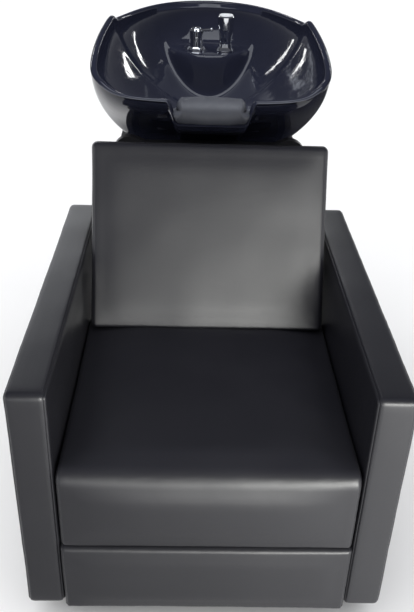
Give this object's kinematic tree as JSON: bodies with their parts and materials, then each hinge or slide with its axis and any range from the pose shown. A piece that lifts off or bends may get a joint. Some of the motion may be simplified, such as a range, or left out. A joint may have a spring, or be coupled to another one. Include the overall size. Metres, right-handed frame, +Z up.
{
  "type": "shampoo backwash unit",
  "caption": "Upholstered salon armchair joined to a pedestal with a tilting glazed wash bowl, gel neck rest, mixer tap, hand spray and rear service door.",
  "frame": {"origin": "centre of the footprint on the floor", "axes": "+X to the sitter's left-hand side seen from the front (viewer's right), +Y from the sitter's knees to the bowl, +Z up"},
  "size_m": [0.6498, 1.1619, 0.927],
  "materials": {
    "upholstery": "black leathercloth, a vinyl-coated fabric with a fine grain and a satin sheen, over foam",
    "plywood": "raw birch plywood",
    "timber": "planed softwood",
    "black_board": "black melamine-faced board",
    "frame_steel": "black powder-coated steel",
    "zinc_steel": "zinc-plated pressed steel",
    "fasteners": "bright zinc fasteners",
    "foot_plastic": "black moulded nylon",
    "black_rubber": "black rubber",
    "gel_rubber": "dark grey soft gel rubber",
    "glaze": "high-gloss black glaze",
    "chrome": "polished chrome",
    "spray_plastic": "pale grey spray plate",
    "brass": "plain brass",
    "waste_plastic": "dark grey waste fittings",
    "corrugated_hose": "grey corrugated waste hose",
    "braided_hose": "braided steel hose"
  },
  "bodies": {
    "base": {"arm_cover_left": "upholstery", "arm_cover_right": "upholstery", "arm_core_left": "plywood", "arm_core_right": "plywood", "seat_cushion": "upholstery", "seat_board": "plywood", "kick_cushion": "upholstery", "kick_board": "plywood", "seat_side_rails": "timber", "seat_cross_rails": "timber", "seat_posts": "timber", "arm_bolts": "fasteners", "back_cushion": "upholstery", "back_board": "black_board", "back_brackets": "frame_steel", "back_bolts": "fasteners", "base_side_rails": "frame_steel", "base_crossbars": "frame_steel", "glide_feet": "foot_plastic", "foot_screws": "fasteners", "housing_front": "black_board", "housing_left": "black_board", "housing_right": "black_board", "housing_shelf": "black_board", "housing_rear": "black_board", "housing_screws": "fasteners", "frame_leaves": "zinc_steel", "hinge_pins": "zinc_steel", "magnet_catch": "foot_plastic", "waste_outlet": "waste_plastic", "water_inlets": "brass", "tilt_brackets": "zinc_steel", "bracket_bolts": "fasteners", "pivot_bolts": "fasteners", "friction_washers": "black_rubber", "pivot_nuts": "fasteners", "waste_hose": "corrugated_hose", "supply_hoses": "braided_hose"},
    "door": {"service_door": "black_board", "door_leaves": "zinc_steel", "door_knob": "chrome", "door_strike": "zinc_steel"},
    "bowl_unit": {"tilt_cradle": "zinc_steel", "cradle_bolts": "fasteners", "cradle_pads": "black_rubber", "bowl": "glaze", "neck_rest": "gel_rubber", "waste_flange": "chrome", "waste_gasket": "black_rubber", "tailpiece": "waste_plastic", "mixer_body": "chrome", "back_nuts": "brass", "spray_holder": "chrome", "spray_hose_loop": "braided_hose"},
    "strainer": {"strainer": "chrome"},
    "mixer_cap": {"mixer_cap": "chrome"},
    "mixer_lever": {"mixer_lever": "chrome"},
    "spray": {"spray_body": "chrome", "spray_face": "spray_plastic", "spray_hose": "braided_hose"}
  },
  "joints": [
    {"name": "bowl_tilt", "type": "hinge", "parent": "base", "child": "bowl_unit", "pos_m": [0, 0.279, 0.65], "axis": [-1, 0, 0], "range_deg": [0, 12], "deforming": ["waste_hose", "supply_hoses"]},
    {"name": "lever_turn", "type": "hinge", "parent": "bowl_unit", "child": "mixer_cap", "pos_m": [-0.032, 0.459, 0.87], "axis": [0, 0, 1], "range_deg": [-35, 35]},
    {"name": "lever_lift", "type": "hinge", "parent": "mixer_cap", "child": "mixer_lever", "pos_m": [-0.02141, 0.45337, 0.8748], "axis": [-0.4695, -0.8829, 0], "range_deg": [0, 25]},
    {"name": "spray_lift", "type": "slide", "parent": "bowl_unit", "child": "spray", "axis": [0, 0, 1], "range_m": [0, 0.2], "deforming": ["spray_hose_loop"]},
    {"name": "strainer_lift", "type": "slide", "parent": "bowl_unit", "child": "strainer", "axis": [0, 0, 1], "range_m": [0, 0.04]},
    {"name": "door_swing", "type": "hinge", "parent": "base", "child": "door", "pos_m": [-0.16, 0.494, 0.3], "axis": [0, 0, 1], "range_deg": [0, 110]}
  ]
}
